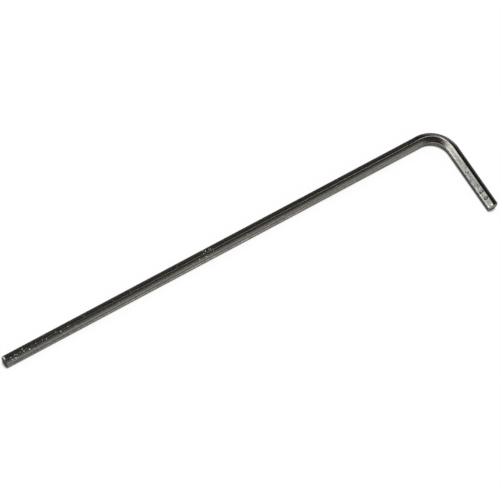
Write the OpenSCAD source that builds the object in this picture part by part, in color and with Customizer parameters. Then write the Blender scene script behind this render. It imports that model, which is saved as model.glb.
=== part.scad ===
/* [Hexagon] */
// Width across the flats, the size that the key is sold by
across_flats = 2; // [1.5:0.1:4]
// Radius along the six corners of the drawn bar
corner_r = 0.19; // [0.05:0.01:0.4]

/* [Arms] */
// Long arm, from its tip to the outer flat of the short arm
long_arm = 90; // [40:1:200]
// Short arm, from its tip to the outer flat of the long arm
short_arm = 18; // [15:0.5:50]

/* [Bend] */
// Radius of the inner flat round the bend
bend_inner_r = 3.5; // [2:0.25:8]

/* [Tips] */
// Turned chamfer on the short tip, measured inwards from the corners
short_chamfer = 0.15; // [0.05:0.05:0.6]
// Turned chamfer on the long tip, measured inwards from the corners
long_chamfer = 0.1; // [0.05:0.05:0.6]

/* [Hidden] */

// Half the width across the flats
apothem = across_flats / 2;
// Distance from the bar's axis to the centre of each corner's round
corner_centre_r = (apothem - corner_r) / cos(30);
// Half the width across the rounded corners, so also the axis height of the key as it lies
corner_reach = corner_centre_r + corner_r;
// Radii of the bar's axis and of its outer flat round the bend
bend_axis_r = bend_inner_r + apothem;
bend_outer_r = bend_inner_r + across_flats;
// Centre of the bend, with the origin in the middle of the key's plan
bend_x = long_arm / 2 - bend_outer_r;
bend_y = short_arm / 2 - bend_outer_r;
// Straight lengths left on each side of the bend
long_straight = long_arm - bend_outer_r;
short_straight = short_arm - bend_outer_r;
// How far a cutting shape runs past what it cuts
overrun = across_flats;

// Hexagon with rounded corners, standing on a corner with two flats upright.
// These upright flats become the inner and outer faces of the bend.
module section() {
    polygon([
        for (corner = [90:60:390], side = [-30, 30])
            corner_centre_r * [cos(corner), sin(corner)]
                + corner_r * [cos(corner + side), sin(corner + side)]
    ]);
    for (corner = [90:60:390])
        translate(corner_centre_r * [cos(corner), sin(corner)])
            circle(r = corner_r, $fn = 48);
}

// Round envelope of a bar whose far end is faced square and chamfered on a lathe
module turned_end(length, chamfer) {
    envelope_r = corner_reach + overrun;
    rotate_extrude($fn = 96)
        polygon([
            [0, -overrun],
            [envelope_r, -overrun],
            [envelope_r, length - overrun - chamfer],
            [corner_reach - chamfer, length],
            [0, length]
        ]);
}

// Straight bar along +Z from the origin, with its turned tip at the far end
module straight_bar(length, chamfer) {
    intersection() {
        linear_extrude(height = length + overrun)
            section();
        turned_end(length, chamfer);
    }
}

// Long arm, pointing along -X
module long_arm_bar() {
    translate([bend_x, bend_y + bend_axis_r, 0])
        rotate([90, 0, -90])
            straight_bar(long_straight, long_chamfer);
}

// Short arm, pointing along -Y
module short_arm_bar() {
    translate([bend_x + bend_axis_r, bend_y, 0])
        rotate([90, 0, 0])
            straight_bar(short_straight, short_chamfer);
}

// Quarter turn between the arms, swept with the same section
module bend() {
    translate([bend_x, bend_y, 0])
        rotate_extrude(angle = 90, $fn = 144)
            translate([bend_axis_r, 0])
                section();
}

// The whole key, cold-bent from one length of hexagon bar, lying on its lower corners
module hex_key() {
    color([0.22, 0.21, 0.20])
        translate([0, 0, corner_reach])
            union() {
                long_arm_bar();
                bend();
                short_arm_bar();
            }
}

hex_key();
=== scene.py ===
import math
import random

import bmesh
import bpy
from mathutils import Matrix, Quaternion, Vector


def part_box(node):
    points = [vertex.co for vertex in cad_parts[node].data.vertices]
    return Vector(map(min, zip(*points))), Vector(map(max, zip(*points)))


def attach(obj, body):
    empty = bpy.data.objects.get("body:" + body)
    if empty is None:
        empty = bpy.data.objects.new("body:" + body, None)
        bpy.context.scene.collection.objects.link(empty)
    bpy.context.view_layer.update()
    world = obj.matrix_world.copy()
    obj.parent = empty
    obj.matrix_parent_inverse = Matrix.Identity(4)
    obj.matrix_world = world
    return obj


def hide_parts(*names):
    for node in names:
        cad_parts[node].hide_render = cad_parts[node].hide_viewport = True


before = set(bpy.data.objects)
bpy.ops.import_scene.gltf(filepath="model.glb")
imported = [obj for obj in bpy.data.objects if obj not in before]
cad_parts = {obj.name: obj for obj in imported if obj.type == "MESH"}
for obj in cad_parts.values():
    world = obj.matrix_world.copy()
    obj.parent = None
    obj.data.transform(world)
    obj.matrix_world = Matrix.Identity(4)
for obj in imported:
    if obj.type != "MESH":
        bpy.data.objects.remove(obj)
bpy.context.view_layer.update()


# Hex key: one length of drawn hexagon steel bar, cut off, its tips turned on a lathe, struck with its
# size, cold-bent to an L and blackened in a hot oxide bath. It is made here in much the same order, as a
# straight bar along X with the start of the bend at X = 0, so that its finish follows the metal.
MM = 0.001
key_low, key_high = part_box("hex_key")
long_arm = key_high.x - key_low.x
short_arm = key_high.y - key_low.y
corner_reach = (key_high.z - key_low.z) / 2
across_flats = 2 * MM
apothem = across_flats / 2
bend_inner_r = 3.5 * MM
bend_axis_r = bend_inner_r + apothem
bend_outer_r = bend_inner_r + across_flats
bend_length = bend_axis_r * math.pi / 2
long_straight = long_arm - bend_outer_r
short_straight = short_arm - bend_outer_r
bar_length = long_straight + bend_length + short_straight
long_tip_x = -long_straight
short_tip_x = bend_length + short_straight


def use_only(piece):
    bpy.ops.object.select_all(action="DESELECT")
    piece.select_set(True)
    bpy.context.view_layer.objects.active = piece


def select_edges(is_wanted):
    """Selects the edges of the mesh being edited whose two ends, a and b, pass is_wanted(a, b)."""
    bpy.ops.mesh.select_mode(type="EDGE")
    bpy.ops.mesh.select_all(action="DESELECT")
    mesh = bmesh.from_edit_mesh(bpy.context.object.data)
    for edge in mesh.edges:
        edge.select_set(is_wanted(edge.verts[0].co, edge.verts[1].co))
    bmesh.update_edit_mesh(bpy.context.object.data)


def apply_modifier(piece, kind, **settings):
    use_only(piece)
    modifier = piece.modifiers.new(kind.lower(), kind)
    for name, value in settings.items():
        setattr(modifier, name, value)
    bpy.ops.object.modifier_apply(modifier=modifier.name)


# The section of the bar: a hexagon that stands on a corner, its corners rounded and its faces crowned
corner_round = 0.06 * MM
face_crown = 0.16
face_cuts = 7
bpy.ops.object.select_all(action="DESELECT")
bpy.ops.mesh.primitive_circle_add(
    vertices=6,
    radius=apothem / math.cos(math.pi / 6),
    fill_type="NGON",
    rotation=(math.pi / 2, 0, math.pi / 2),
)
key = bpy.context.object
key.name = "hexagon_bar"
bpy.ops.object.transform_apply(location=True, rotation=True, scale=True)
bpy.ops.object.mode_set(mode="EDIT")
bpy.ops.mesh.select_all(action="SELECT")
bpy.ops.mesh.bevel(offset=corner_round, segments=4, affect="VERTICES")
select_edges(lambda a, b: (a - b).length > apothem / 2)
bpy.ops.mesh.subdivide(number_cuts=face_cuts)
bpy.ops.object.mode_set(mode="OBJECT")
apply_modifier(
    key,
    "CAST",
    cast_type="SPHERE",
    factor=face_crown,
    use_radius_as_size=False,
    size=apothem,
)
crowned_reach = max(point.co.z for point in key.data.vertices)

# The bar is drawn out a little past both cuts, with rings close enough to hold the unevenness of its skin
cut_off = 1 * MM
ring_cuts = (8, 9, 9)
bpy.ops.object.mode_set(mode="EDIT")
bpy.ops.mesh.select_all(action="SELECT")
bpy.ops.transform.resize(value=(1, 1, corner_reach / crowned_reach))
bpy.ops.transform.translate(value=(long_tip_x - cut_off, 0, 0))
bpy.ops.mesh.extrude_region_move(TRANSFORM_OT_translate={"value": (bar_length + 2 * cut_off, 0, 0)})
for cuts in ring_cuts:
    select_edges(lambda a, b: abs(a.x - b.x) > abs(a.y - b.y) + abs(a.z - b.z))
    bpy.ops.mesh.subdivide(number_cuts=cuts)
bpy.ops.mesh.select_all(action="SELECT")
bpy.ops.mesh.normals_make_consistent(inside=False)
bpy.ops.object.mode_set(mode="OBJECT")

# Slow waves left by the drawing die, and the finer skin of the oxide, both cut inwards from the true size
for name, patch, depth in (
    ("die_waves", 5 * MM, 0.006 * MM),
    ("oxide_skin", 0.35 * MM, 0.0015 * MM),
):
    texture = bpy.data.textures.new(name, "CLOUDS")
    texture.noise_scale = patch
    apply_modifier(key, "DISPLACE", texture=texture, strength=depth, mid_level=1)

# Both tips are turned: the bar is kept only inside a lathe-cut cylinder with chamfered ends. The
# cylinder of the short tip sat a little off centre, so its chamfer is wide on the outer side only.
turned_r = across_flats
turned_tips = (
    # end of the bar, chamfer, distance off centre
    (long_tip_x, 0.1 * MM, 0),
    (short_tip_x, 0.15 * MM, -0.08 * MM),
)
for tip_x, chamfer, off_centre in turned_tips:
    bpy.ops.object.select_all(action="DESELECT")
    bpy.ops.mesh.primitive_cylinder_add(
        vertices=96,
        radius=turned_r,
        depth=2 * bar_length,
        location=(tip_x - math.copysign(bar_length, tip_x), off_centre, 0),
        rotation=(0, math.pi / 2, 0),
    )
    turned = bpy.context.object
    bpy.ops.object.transform_apply(location=True, rotation=True, scale=True)
    bpy.ops.object.mode_set(mode="EDIT")
    select_edges(lambda a, b: max(abs(a.x - tip_x), abs(b.x - tip_x)) < chamfer)
    bpy.ops.mesh.bevel(offset=turned_r - corner_reach + chamfer, segments=1)
    bpy.ops.object.mode_set(mode="OBJECT")
    apply_modifier(key, "BOOLEAN", operation="INTERSECT", object=turned, solver="MANIFOLD")
    bpy.data.objects.remove(turned)


def face_point(place, lean, across):
    """A point of the straight bar's surface and the outward normal there. The face leans by that many
    degrees from upright towards the inner side of the bend, and across runs up it from its middle."""
    turn = math.radians(lean)
    normal = Vector((0, -math.sin(turn), math.cos(turn)))
    uphill = Vector((0, math.cos(turn), math.sin(turn)))
    start = Vector((place, 0, 0)) + apothem * normal + across * uphill
    _, location, _, _ = key.closest_point_on_mesh(start)
    return location, normal


# Nicks through the oxide: each is a shallow bowl. Most lie near the long tip, halfway along the long arm
# and beside the number, on the two upper faces and the corner between them, and two shallow scuffs lie at
# the short tip. Along is from the long tip, and lean and across are as for face_point.
upper_inner, upper_outer, top_corner = 30, -30, 0
chosen_nicks = (
    # along, lean, across, radius
    (1.9 * MM, top_corner, 0, 0.1 * MM),
    (2.9 * MM, top_corner, 0, 0.08 * MM),
    (4.1 * MM, top_corner, 0, 0.09 * MM),
    (6.0 * MM, top_corner, 0, 0.08 * MM),
    (7.3 * MM, top_corner, 0, 0.09 * MM),
    (12.3 * MM, top_corner, 0, 0.08 * MM),
    (1.15 * MM, upper_inner, 0, 0.14 * MM),
    (1.8 * MM, upper_inner, -0.08 * MM, 0.22 * MM),
    (1.1 * MM, upper_inner, 0.42 * MM, 0.1 * MM),
    (2.3 * MM, upper_inner, 0.4 * MM, 0.11 * MM),
    (3.5 * MM, upper_outer, -0.25 * MM, 0.15 * MM),
    (3.6 * MM, upper_inner, 0.38 * MM, 0.12 * MM),
    (4.6 * MM, upper_inner, 0.2 * MM, 0.16 * MM),
    (5.4 * MM, upper_inner, -0.2 * MM, 0.13 * MM),
    (8.0 * MM, upper_inner, 0.4 * MM, 0.12 * MM),
    (8.3 * MM, upper_inner, -0.34 * MM, 0.13 * MM),
    (10.0 * MM, upper_outer, -0.4 * MM, 0.13 * MM),
    (10.8 * MM, upper_inner, 0.4 * MM, 0.12 * MM),
    (11.1 * MM, upper_inner, -0.29 * MM, 0.17 * MM),
    (38.4 * MM, upper_inner, 0.09 * MM, 0.12 * MM),
    (39.5 * MM, upper_outer, -0.45 * MM, 0.1 * MM),
    (39.7 * MM, upper_inner, -0.02 * MM, 0.1 * MM),
    (39.8 * MM, upper_outer, 0.3 * MM, 0.14 * MM),
    (39.95 * MM, upper_inner, -0.22 * MM, 0.12 * MM),
    (40.1 * MM, upper_outer, -0.15 * MM, 0.15 * MM),
    (40.25 * MM, upper_inner, -0.4 * MM, 0.1 * MM),
    (40.8 * MM, upper_outer, -0.15 * MM, 0.11 * MM),
)
short_tip_scuffs = (
    (bar_length - 0.3 * MM, upper_inner, -0.42 * MM, 0.16 * MM),
    (bar_length - 0.25 * MM, upper_inner, 0.25 * MM, 0.14 * MM),
)
both_faces = (upper_inner, upper_outer)
nick_groups = (
    # from, to, count, largest radius, faces
    (2.5 * MM, 14 * MM, 7, 0.08 * MM, both_faces),
    (14 * MM, 36 * MM, 10, 0.08 * MM, both_faces),
    (36 * MM, 44 * MM, 5, 0.09 * MM, both_faces),
    (44 * MM, 84 * MM, 12, 0.08 * MM, both_faces),
    (87.5 * MM, 90.5 * MM, 6, 0.06 * MM, (upper_inner,)),
    (95.6 * MM, 100.3 * MM, 40, 0.14 * MM, (upper_inner,)),
)
smallest_nick = 0.05 * MM
farthest_across = 0.4 * MM
nick_depth_share = 0.3
scuff_depth_share = 0.1
bowls = []
nick_places = []


def cut_nick(along, lean, across, radius, depth_share):
    """Adds the cutter of a nick, unless it would touch the cutter of an earlier one."""
    location, normal = face_point(long_tip_x + along, lean, across)
    depth = depth_share * radius
    centre = location + depth * normal
    if any((centre - other).length < radius + other_radius for other, other_radius in nick_places):
        return
    nick_places.append((centre, radius))
    bpy.ops.mesh.primitive_ico_sphere_add(
        subdivisions=2,
        radius=1,
        location=centre,
        rotation=normal.to_track_quat("Z", "X").to_euler(),
        scale=(radius, radius, 2 * depth),
    )
    bowls.append(bpy.context.object)


for nick in chosen_nicks:
    cut_nick(*nick, nick_depth_share)
for scuff in short_tip_scuffs:
    cut_nick(*scuff, scuff_depth_share)
random.seed(7)
for group_from, group_to, count, largest_nick, faces in nick_groups:
    for _ in range(count):
        cut_nick(
            random.uniform(group_from, group_to),
            random.choice(faces),
            random.uniform(-farthest_across, farthest_across),
            random.uniform(smallest_nick, largest_nick),
            nick_depth_share,
        )

# The long tip's upper outer edge is knocked flat in one place, which catches the light
knock_r = 1 * MM
knock_depth = 0.045 * MM
knock_across = 0.34 * MM
knock_normal = Vector((-0.5, 0, 0.87))
knock_place, _ = face_point(long_tip_x, upper_outer, knock_across)
bpy.ops.mesh.primitive_ico_sphere_add(
    subdivisions=4,
    radius=knock_r,
    location=knock_place + (knock_r - knock_depth) * knock_normal,
)
bowls.append(bpy.context.object)
bpy.ops.object.select_all(action="DESELECT")
for bowl in bowls:
    bowl.select_set(True)
bpy.context.view_layer.objects.active = bowls[0]
bpy.ops.object.join()
nicks = bpy.context.object
bpy.ops.object.transform_apply(location=True, rotation=True, scale=True)

# The size number, struck into the upper inner face of the short arm. Its digits are a share of the type
# size high, and their strokes are widened a little, as a worn stamp leaves them.
digit_height = 0.8 * MM
digit_share = 0.7
digit_spacing = 1.5
stroke_widening = 0.035 * MM
number_depth = 0.1 * MM
number_from_tip = 3.5 * MM
bpy.ops.object.select_all(action="DESELECT")
bpy.ops.object.text_add()
number = bpy.context.object
number.data.body = "2.0"
number.data.size = digit_height / digit_share
number.data.space_character = digit_spacing
number.data.offset = stroke_widening
number.data.extrude = number_depth
number.data.align_y = "CENTER"
number.data.resolution_u = 4
bpy.ops.object.convert(target="MESH")
number.location, _ = face_point(short_tip_x - number_from_tip, upper_inner, 0)
number.rotation_euler = (math.radians(upper_inner), 0, 0)
bpy.ops.object.transform_apply(location=True, rotation=True, scale=True)

# The cutters' faces carry the material slots that their cuts leave behind. Nicks are bright, but the
# number and the nicks beside it, up to a short way from the short tip, are near black: oxide and painted
# shade in their hollows.
oxide_slot, bright_slot, dark_hollow_slot = 0, 1, 2
slot_count = 3
darkening_stops_at = short_tip_x - 0.55 * MM
for piece in (key, nicks, number):
    for _ in range(slot_count):
        piece.data.materials.append(None)
for cutter, solver in ((nicks, "MANIFOLD"), (number, "EXACT")):
    for face in cutter.data.polygons:
        is_darkened = bend_length < face.center.x < darkening_stops_at
        face.material_index = dark_hollow_slot if is_darkened else bright_slot
    apply_modifier(key, "BOOLEAN", operation="DIFFERENCE", object=cutter, solver=solver)
    bpy.data.objects.remove(cutter)

# Each point remembers where it was in the straight bar, and then the bar is bent and put in its place.
# It rolled a little in the bending tool, which carries its top corner outwards in the middle of the bend.
bend_roll = math.radians(-8)
straight = key.data.attributes.new("straight", "FLOAT_VECTOR", "POINT")
for point, place in zip(key.data.vertices, straight.data):
    place.vector = point.co
bend_start, bend_middle, bend_end = (
    (long_straight + share * bend_length) / bar_length for share in (0, 0.5, 1)
)
for roll, limits in ((bend_roll, (bend_start, bend_middle)), (-bend_roll, (bend_middle, bend_end))):
    apply_modifier(
        key,
        "SIMPLE_DEFORM",
        deform_method="TWIST",
        deform_axis="X",
        angle=roll,
        limits=limits,
    )
key.rotation_euler.x = bend_roll
bpy.ops.object.transform_apply(location=True, rotation=True, scale=True)
apply_modifier(
    key,
    "SIMPLE_DEFORM",
    deform_method="BEND",
    deform_axis="Z",
    angle=-math.pi / 2,
    limits=(bend_start, bend_end),
)
sharp_edge = math.radians(30)
bpy.ops.object.mode_set(mode="EDIT")
bpy.ops.mesh.select_all(action="SELECT")
bpy.ops.transform.translate(value=(key_high.x - bend_outer_r, key_high.y - apothem, corner_reach))
bpy.ops.object.mode_set(mode="OBJECT")
bpy.ops.object.shade_smooth_by_angle(angle=sharp_edge)


def add_node(tree, kind, inputs=None, **settings):
    """A new node of the tree, with its settings made and each named input set or joined to a socket."""
    made = tree.nodes.new(kind)
    for name, value in settings.items():
        setattr(made, name, value)
    for name, value in (inputs or {}).items():
        if isinstance(value, bpy.types.NodeSocket):
            tree.links.new(value, made.inputs[name])
        else:
            made.inputs[name].default_value = value
    return made


def map_range(tree, value, from_low, from_high, to_low=0.0, to_high=1.0):
    return add_node(
        tree,
        "ShaderNodeMapRange",
        {"Value": value, "From Min": from_low, "From Max": from_high, "To Min": to_low, "To Max": to_high},
    ).outputs["Result"]


def calculate(tree, operation, first, second):
    return add_node(tree, "ShaderNodeMath", {0: first, 1: second}, operation=operation).outputs["Value"]


def mix_colours(tree, share, first, second):
    return add_node(tree, "ShaderNodeMix", {0: share, 6: first, 7: second}, data_type="RGBA").outputs[2]


def scale_colour(tree, colour, factor):
    return add_node(
        tree,
        "ShaderNodeVectorMath",
        {0: colour, "Scale": factor},
        operation="SCALE",
    ).outputs["Vector"]


def clear_tree(owner):
    """Turns on the nodes of a material or world and returns its tree, emptied."""
    owner.use_nodes = True
    owner.node_tree.nodes.clear()
    return owner.node_tree


# Metal skin: the patches, grain and drawing streaks that every surface of the key shares, in the
# straight bar's own coordinates. The grain is drawn out a little along the bar, the streaks a lot.
noise_low, noise_high = 0.3, 0.7
skin = bpy.data.node_groups.new("metal_skin", "ShaderNodeTree")
for name in ("Patch Size", "Grain Size"):
    skin.interface.new_socket(name, in_out="INPUT", socket_type="NodeSocketFloat")
for name in ("Patches", "Grain", "Streaks"):
    skin.interface.new_socket(name, in_out="OUTPUT", socket_type="NodeSocketFloat")
skin_in = add_node(skin, "NodeGroupInput")
skin_place = add_node(skin, "ShaderNodeAttribute", attribute_name="straight").outputs["Vector"]
skin_out = add_node(skin, "NodeGroupOutput")
for name, size_name, squeeze in (
    ("Patches", "Patch Size", 1.0),
    ("Grain", "Grain Size", 0.4),
    ("Streaks", "Grain Size", 0.03),
):
    drawn = add_node(skin, "ShaderNodeVectorMath", {0: skin_place, 1: (squeeze, 1, 1)}, operation="MULTIPLY")
    noise = add_node(
        skin,
        "ShaderNodeTexNoise",
        {
            "Vector": drawn.outputs["Vector"],
            "Scale": calculate(skin, "DIVIDE", 1.0, skin_in.outputs[size_name]),
            "Detail": 3.0,
        },
    )
    skin.links.new(map_range(skin, noise.outputs["Fac"], noise_low, noise_high), skin_out.inputs[name])

# Black oxide: nearly black, oiled and half glossy. Hands have rubbed it thin along the top corner and on
# the inner flat of the long arm, which are also painted lighter as highlight, and the other corners, the
# short arm's inner flat and the long tip's end are painted darker as shade.
painted_shade_black_oxide = (0.014, 0.016, 0.013, 1)
painted_shade_oxide = (0.05, 0.048, 0.043, 1)
shaded_oxide = (0.075, 0.073, 0.067, 1)
painted_shade_dim_oxide = (0.115, 0.112, 0.102, 1)
oiled_oxide = (0.138, 0.141, 0.131, 1)
burnished_and_painted_highlight_line = (0.185, 0.168, 0.158, 1)
plain_oxide = (0.19, 0.185, 0.17, 1)
burnished_and_painted_highlight_oxide = (0.22, 0.224, 0.21, 1)
thin_oxide = (0.25, 0.24, 0.215, 1)
worn_and_painted_light_oxide = (0.31, 0.285, 0.235, 1)
rubbed_and_painted_highlight_steel = (0.45, 0.41, 0.34, 1)
polished_and_painted_highlight_steel = (0.82, 0.75, 0.66, 1)
# The bands of colour round the bar, each with the leans that it starts and ends at: 0 is the top corner,
# 30 the upper inner face, 60 the corner below it, 90 the inner flat, and the outer side is below 0. The
# outer flat, the corner above it and the lower side are the same everywhere.
# The corner above the outer flat is painted near black, as shade along the outline.
outer_side = (
    # first lean, last lean, colour
    (-180, -75, plain_oxide),
    (-60, -60, painted_shade_black_oxide),
)
lower_side = ((140, 180, plain_oxide),)
# In these tables the darker bands at the corners, below the inner flat and across the bend are painted
# shade.
near_long_tip = (
    (-52, -8, thin_oxide),
    (-4, 50, plain_oxide),
    (54, 58, painted_shade_oxide),
    (62, 100, plain_oxide),
    (110, 126, painted_shade_oxide),
)
# The lighter lines along the top corner and below the inner corner, and the lighter band on the inner flat,
# are partly rubbed wear and partly painted highlight.
along_long_arm = (
    (-52, -8, thin_oxide),
    (-4, 3, worn_and_painted_light_oxide),
    (7, 13, painted_shade_dim_oxide),
    (20, 50, plain_oxide),
    (53, 59, painted_shade_oxide),
    (64, 78, rubbed_and_painted_highlight_steel),
    (86, 92, worn_and_painted_light_oxide),
    (99, 126, painted_shade_oxide),
)
near_bend = (
    (-52, -8, thin_oxide),
    (-4, 3, rubbed_and_painted_highlight_steel),
    (7, 13, painted_shade_dim_oxide),
    (20, 50, plain_oxide),
    (52, 55, painted_shade_oxide),
    (59, 68, worn_and_painted_light_oxide),
    (80, 92, painted_shade_dim_oxide),
    (100, 100, worn_and_painted_light_oxide),
    (108, 126, painted_shade_oxide),
)
round_bend = (
    (-50, -9, painted_shade_dim_oxide),
    (-5, 3, polished_and_painted_highlight_steel),
    (7, 14, painted_shade_dim_oxide),
    (22, 50, plain_oxide),
    (53, 57, painted_shade_oxide),
    (61, 61, worn_and_painted_light_oxide),
    (70, 100, painted_shade_dim_oxide),
    (110, 126, painted_shade_oxide),
)
middle_of_bend = (
    (-50, -9, painted_shade_dim_oxide),
    (-5, 3, polished_and_painted_highlight_steel),
    (7, 22, shaded_oxide),
    (32, 50, painted_shade_dim_oxide),
    (53, 57, painted_shade_oxide),
    (61, 61, worn_and_painted_light_oxide),
    (70, 100, painted_shade_dim_oxide),
    (110, 126, painted_shade_oxide),
)
# On the short arm the top corner and the inner flat are painted dark as shade, and the lines beside the
# corners are partly burnished wear and partly painted highlight.
along_short_arm = (
    (-50, -50, plain_oxide),
    (-12, 1, painted_shade_oxide),
    (6, 10, burnished_and_painted_highlight_line),
    (15, 47, oiled_oxide),
    (51, 61, burnished_and_painted_highlight_oxide),
    (65, 65, plain_oxide),
    (84, 126, painted_shade_oxide),
)
colour_changes = (
    # start, end, bands from there on
    (long_tip_x + 5 * MM, long_tip_x + 40 * MM, along_long_arm),
    (long_tip_x + 45 * MM, long_tip_x + 72 * MM, near_bend),
    (-1.5 * MM, 0.5 * MM, round_bend),
    (0.4 * bend_length, 0.48 * bend_length, middle_of_bend),
)


def colours_round(tree, lean, bands):
    """The colour at a lean: each band's own inside it, and blended between one band and the next."""
    edges = [
        (degrees, colour)
        for first, last, colour in (*outer_side, *bands, *lower_side)
        for degrees in sorted({first, last})
    ]
    ramp = add_node(tree, "ShaderNodeValToRGB", {"Fac": map_range(tree, lean, -math.pi, math.pi)})
    stops = ramp.color_ramp.elements
    while len(stops) < len(edges):
        stops.new(1.0)
    for stop, (degrees, colour) in zip(stops, edges):
        stop.position = 0.5 + degrees / 360
        stop.color = colour
    return ramp.outputs["Color"]


oxide = bpy.data.materials.new("black_oxide")
tree = clear_tree(oxide)
mottle = add_node(tree, "ShaderNodeGroup", node_tree=skin)
mottle.inputs["Patch Size"].default_value = 0.35 * MM
mottle.inputs["Grain Size"].default_value = 0.12 * MM
straight_place = add_node(tree, "ShaderNodeAttribute", attribute_name="straight")
place_parts = add_node(tree, "ShaderNodeSeparateXYZ", {"Vector": straight_place.outputs["Vector"]})
along = place_parts.outputs["X"]
up = place_parts.outputs["Z"]
inwards = calculate(tree, "MULTIPLY", place_parts.outputs["Y"], -1.0)
lean = calculate(tree, "ARCTAN2", inwards, up)
key_colour = colours_round(tree, lean, near_long_tip)
for change_start, change_end, bands in colour_changes:
    key_colour = mix_colours(
        tree,
        map_range(tree, along, change_start, change_end),
        key_colour,
        colours_round(tree, lean, bands),
    )

# The short arm's colour is lightest where it leaves the bend
lightening_at_bend = 1.45
lightening_end = bend_length + 2.5 * MM
past_bend = map_range(tree, along, 0.6 * bend_length, 0.8 * bend_length)
short_arm_colour = scale_colour(
    tree,
    colours_round(tree, lean, along_short_arm),
    map_range(tree, along, bend_length, lightening_end, lightening_at_bend, 1.0),
)
key_colour = mix_colours(tree, past_bend, key_colour, short_arm_colour)

# The end faces: the long tip's is painted black as shade; the short tip's is worn and painted lighter on its
# upper half, where light falls, and painted darker below as shade
end_skin = 0.02 * MM
end_light_from, end_light_to = -0.4 * MM, 0.1 * MM
short_end_colour = mix_colours(tree, map_range(tree, up, end_light_from, end_light_to), painted_shade_oxide, worn_and_painted_light_oxide)
for tip_x, end_colour in ((short_tip_x, short_end_colour), (long_tip_x, painted_shade_black_oxide)):
    reach = math.copysign(end_skin, tip_x)
    key_colour = mix_colours(
        tree,
        map_range(tree, along, tip_x - reach, tip_x - reach / 2),
        key_colour,
        end_colour,
    )

# Patches and streaks make the oxide uneven, and they show more on the short arm and on the inner flat
patch_strength = 0.1
streak_strength = 0.06
short_arm_contrast = 3.5
inner_flat_contrast = 6.0
flat_from, flat_to = math.radians(58), math.radians(66)
smoothest, roughest = 0.2, 0.26
unevenness = calculate(
    tree,
    "MULTIPLY",
    map_range(tree, mottle.outputs["Patches"], 0.0, 1.0, 1 - patch_strength, 1 + patch_strength),
    map_range(tree, mottle.outputs["Streaks"], 0.0, 1.0, 1 - streak_strength, 1 + streak_strength),
)
contrast = calculate(
    tree,
    "ADD",
    map_range(tree, past_bend, 0.0, 1.0, 1.0, short_arm_contrast),
    map_range(tree, lean, flat_from, flat_to, 0.0, inner_flat_contrast),
)
colour = scale_colour(tree, key_colour, calculate(tree, "POWER", unevenness, contrast))
relief = add_node(tree, "ShaderNodeBump", {"Height": mottle.outputs["Grain"], "Distance": 0.0015 * MM})
surface = add_node(
    tree,
    "ShaderNodeBsdfPrincipled",
    {
        "Base Color": colour,
        "Metallic": 1.0,
        "Specular Tint": (0.5, 0.5, 0.5, 1),
        "Roughness": map_range(tree, mottle.outputs["Grain"], 0.0, 1.0, smoothest, roughest),
        "Normal": relief.outputs["Normal"],
    },
)
add_node(tree, "ShaderNodeOutputMaterial", {"Surface": surface.outputs["BSDF"]})


def bare_metal(name, darker, lighter, roughness):
    """A plain metal whose colour goes from darker to lighter over the skin's patches."""
    metal = bpy.data.materials.new(name)
    tree = clear_tree(metal)
    mottle = add_node(tree, "ShaderNodeGroup", node_tree=skin)
    mottle.inputs["Patch Size"].default_value = 0.2 * MM
    mottle.inputs["Grain Size"].default_value = 0.08 * MM
    relief = add_node(tree, "ShaderNodeBump", {"Height": mottle.outputs["Grain"], "Distance": 0.002 * MM})
    surface = add_node(
        tree,
        "ShaderNodeBsdfPrincipled",
        {
            "Base Color": mix_colours(tree, mottle.outputs["Patches"], darker, lighter),
            "Metallic": 1.0,
            "Roughness": roughness,
            "Normal": relief.outputs["Normal"],
        },
    )
    add_node(tree, "ShaderNodeOutputMaterial", {"Surface": surface.outputs["BSDF"]})
    return metal


# Bright nicks show bare steel, and the number and the nicks beside it are near black, partly oxide and
# partly painted shade in their hollows
bare_steel = bare_metal("bare_steel_in_nicks", (0.45, 0.44, 0.41, 1), (0.75, 0.73, 0.69, 1), 0.3)
oxide_and_painted_shade = bare_metal("dried_oil_in_number", (0.015, 0.015, 0.013, 1), (0.04, 0.039, 0.035, 1), 0.45)
for slot, finish in ((oxide_slot, oxide), (bright_slot, bare_steel), (dark_hollow_slot, oxide_and_painted_shade)):
    key.data.materials[slot] = finish
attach(key, "root")
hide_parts("hex_key")


# Floor: a matt white sheet that the key lies on. The camera and reflections see it as plain white
# paper, which keeps a light share of the key's shadow and has a contact shade painted into it where the key
# nearly touches it.
floor_size = 4.0
floor_albedo = 0.8
floor_own_white = 0.9
floor_white_strength = 1.03
contact_reach = 0.45 * MM
painted_contact_shade_strength = 0.38
contact_closed, contact_open = 0.75, 0.95


def seen_directly(tree):
    """1 for what the camera sees, also by reflection and through glass, and 0 for scattered light."""
    light_path = add_node(tree, "ShaderNodeLightPath")
    seen = light_path.outputs["Is Camera Ray"]
    for name in ("Is Glossy Ray", "Is Transmission Ray"):
        seen = calculate(tree, "MAXIMUM", seen, light_path.outputs[name])
    return seen


bpy.ops.object.select_all(action="DESELECT")
bpy.ops.mesh.primitive_plane_add(size=floor_size)
floor = bpy.context.object
floor.name = "floor"
paper = bpy.data.materials.new("white_paper")
tree = clear_tree(paper)
matt = add_node(tree, "ShaderNodeBsdfDiffuse", {"Color": (floor_albedo, floor_albedo, floor_albedo, 1)})
# Ambient occlusion paints a contact shade into the white where the key nearly touches the paper.
openness = add_node(
    tree,
    "ShaderNodeAmbientOcclusion",
    {"Distance": contact_reach},
    samples=16,
).outputs["AO"]
white_strength = map_range(
    tree,
    openness,
    contact_closed,
    contact_open,
    painted_contact_shade_strength,
    floor_white_strength,
)
white = add_node(tree, "ShaderNodeEmission", {"Strength": white_strength})
mixed = add_node(
    tree,
    "ShaderNodeMixShader",
    {
        0: calculate(tree, "MULTIPLY", seen_directly(tree), floor_own_white),
        1: matt.outputs["BSDF"],
        2: white.outputs["Emission"],
    },
)
add_node(tree, "ShaderNodeOutputMaterial", {"Surface": mixed.outputs["Shader"]})
floor.data.materials.append(paper)


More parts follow.
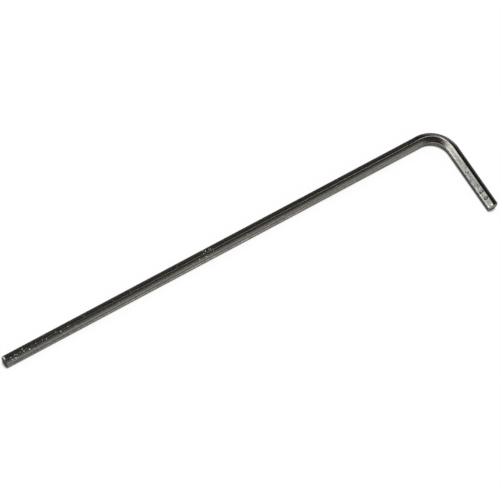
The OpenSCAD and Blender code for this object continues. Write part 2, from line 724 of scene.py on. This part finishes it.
# Studio: one wide soft box overhead with a weak spill along its front edge, a low one in front, one that
# lights the top corner, and a pale room. Black cards that only show in reflections darken the faces.
room_light = 0.5
felt_albedo = 0.08


def soft_box(name, centre, size, facing, radiance):
    """A rectangular lamp that the camera doesn't see, with the radiance of its lit face."""
    lamp = bpy.data.lights.new(name, "AREA")
    lamp.shape = "RECTANGLE"
    lamp.size, lamp.size_y = size
    lamp.energy = radiance * math.pi * size[0] * size[1]
    box = bpy.data.objects.new(name, lamp)
    box.location = centre
    box.rotation_euler = Vector(facing).to_track_quat("-Z", "Y").to_euler()
    box.visible_camera = False
    bpy.context.collection.objects.link(box)


felt = bpy.data.materials.new("black_felt")
tree = clear_tree(felt)
cloth = add_node(tree, "ShaderNodeBsdfDiffuse", {"Color": (felt_albedo, felt_albedo, felt_albedo, 1)})
add_node(tree, "ShaderNodeOutputMaterial", {"Surface": cloth.outputs["BSDF"]})


def black_card(name, centre, size, facing):
    bpy.ops.object.select_all(action="DESELECT")
    bpy.ops.mesh.primitive_plane_add(size=1, location=centre)
    card = bpy.context.object
    card.name = name
    card.scale = (*size, 1)
    card.rotation_euler = Vector(facing).to_track_quat("Z", "Y").to_euler()
    card.visible_camera = False
    card.visible_diffuse = False
    card.visible_shadow = False
    card.data.materials.append(felt)


soft_box("overhead_box", (-0.64, 0.26, 0.8), (1.28, 0.68), (0, 0, -1), 1.8)
soft_box("front_box", (0.2, -0.8, 0.5), (1.6, 0.36), (0, 1, 0), 1.0)
soft_box("top_corner_box", (0.4, 0.25, 0.77), (0.6, 0.4), (0, 0, -1), 1.1)
soft_box("overhead_spill", (-0.64, -0.15, 0.79), (1.28, 0.14), (0, 0, -1), 0.5)
black_card("card_over_lens", (0.0, -0.41, 0.78), (2.1, 0.66), (0, 0, -1))
black_card("card_overhead_right", (0.4, 0.3, 0.78), (0.8, 0.75), (0, 0, -1))
black_card("card_behind", (0.3, 0.65, 0.4), (1.6, 0.8), (0, -1, 0))
black_card("card_right", (0.75, 0.0, 0.4), (1.6, 0.8), (-1, 0, 0))
black_card("card_low_front", (0.2, -0.79, 0.16), (1.9, 0.32), (0, 1, 0))

world = bpy.data.worlds.new("pale_room")
bpy.context.scene.world = world
tree = clear_tree(world)
room_strength = map_range(tree, seen_directly(tree), 0.0, 1.0, room_light, 1.0)
room = add_node(tree, "ShaderNodeBackground", {"Color": (1, 1, 1, 1), "Strength": room_strength})
add_node(tree, "ShaderNodeOutputWorld", {"Surface": room.outputs["Background"]})


# Camera: a long lens above the open side of the angle, half a metre away. Its place, turn and length are
# those that fit the outline in the photograph best.
camera_aim = Vector((2.276, 5.098, 1.126)) * MM
camera_distance = 550.69 * MM
camera_azimuth = math.radians(-47.65)
camera_elevation = math.radians(64.79)
camera_roll = math.radians(16.676)
camera_data = bpy.data.cameras.new("camera")
camera_data.sensor_width = 36
camera_data.lens = 230.65
camera_data.clip_start = 0.01
camera = bpy.data.objects.new("camera", camera_data)
towards_camera = Vector((
    math.sin(camera_azimuth) * math.cos(camera_elevation),
    -math.cos(camera_azimuth) * math.cos(camera_elevation),
    math.sin(camera_elevation),
))
camera.location = camera_aim + camera_distance * towards_camera
camera.rotation_mode = "QUATERNION"
camera.rotation_quaternion = (
    towards_camera.to_track_quat("Z", "Y") @ Quaternion((0, 0, 1), camera_roll)
)
bpy.context.collection.objects.link(camera)
bpy.context.scene.camera = camera

bpy.context.scene.view_settings.view_transform = "Standard"
